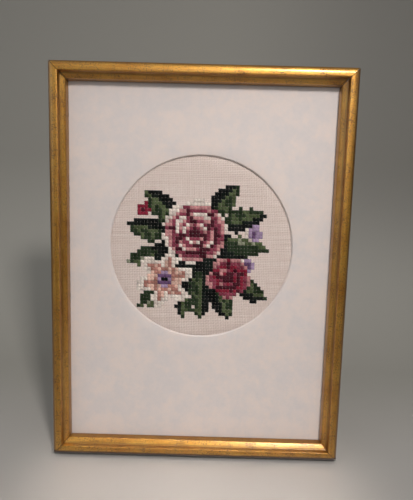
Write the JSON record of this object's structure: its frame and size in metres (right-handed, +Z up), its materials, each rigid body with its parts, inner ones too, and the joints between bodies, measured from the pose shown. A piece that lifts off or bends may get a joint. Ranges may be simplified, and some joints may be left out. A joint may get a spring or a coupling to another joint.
{
  "type": "framed cross stitch sampler: stitched cloth in a standing picture frame",
  "caption": "Small cross stitch sampler: evenweave cloth behind a mount board with a round opening, in a gilt mitred frame that leans back on an easel strut.",
  "frame": {"origin": "on the floor under the middle of the bounding box", "axes": "+Z up along the height, +Y back from the stitched face towards the strut, +X to the viewer's right"},
  "size_m": [0.1524, 0.077, 0.2012],
  "materials": {
    "gilt": "gilded, worn at the arrises, satin sheen",
    "mount_paper": "matt, off-white with a pink cast",
    "evenweave": "cream evenweave, stitched in cotton",
    "plain_board": "plain brown board",
    "hinge_metal": "satin"
  },
  "bodies": {
    "root": {"rail_top": "gilt", "rail_bottom": "gilt", "rail_left": "gilt", "rail_right": "gilt", "mount_board": "mount_paper", "stitched_cloth": "evenweave", "backing_board": "plain_board", "strut": "plain_board", "strut_hinge": "hinge_metal"}
  },
  "joints": []
}
